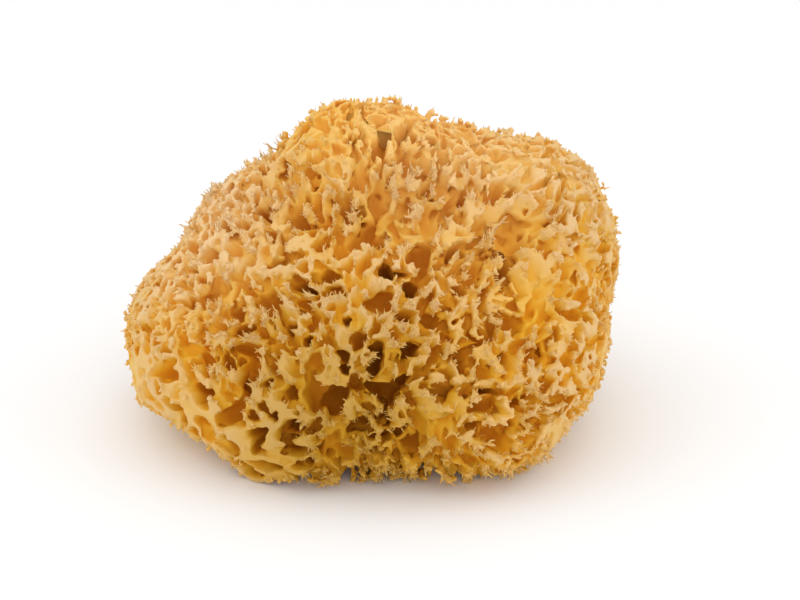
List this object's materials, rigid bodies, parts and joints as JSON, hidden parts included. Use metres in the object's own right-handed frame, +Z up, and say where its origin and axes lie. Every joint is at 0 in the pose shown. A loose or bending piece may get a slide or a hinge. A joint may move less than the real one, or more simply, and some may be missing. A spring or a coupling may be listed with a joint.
{
  "type": "natural sea sponge",
  "caption": "Dry natural sea sponge: a lumpy, soft grown body whose whole outside is pitted with canals between pointed walls, cut off flat underneath where it grew and resting on the cut.",
  "frame": {"origin": "bottom centre of the sponge's box, on the plane of the cut", "axes": "+X to the right along its greatest width, +Y to the back, +Z up out of the cut"},
  "size_m": [0.1429, 0.1099, 0.0935],
  "materials": {
    "sponge_fibre": "dry, matt horny fibre: pale cream at the points of the walls, amber on them, brown deep in the canals"
  },
  "bodies": {
    "root": {"sea_sponge": "sponge_fibre"}
  },
  "joints": []
}
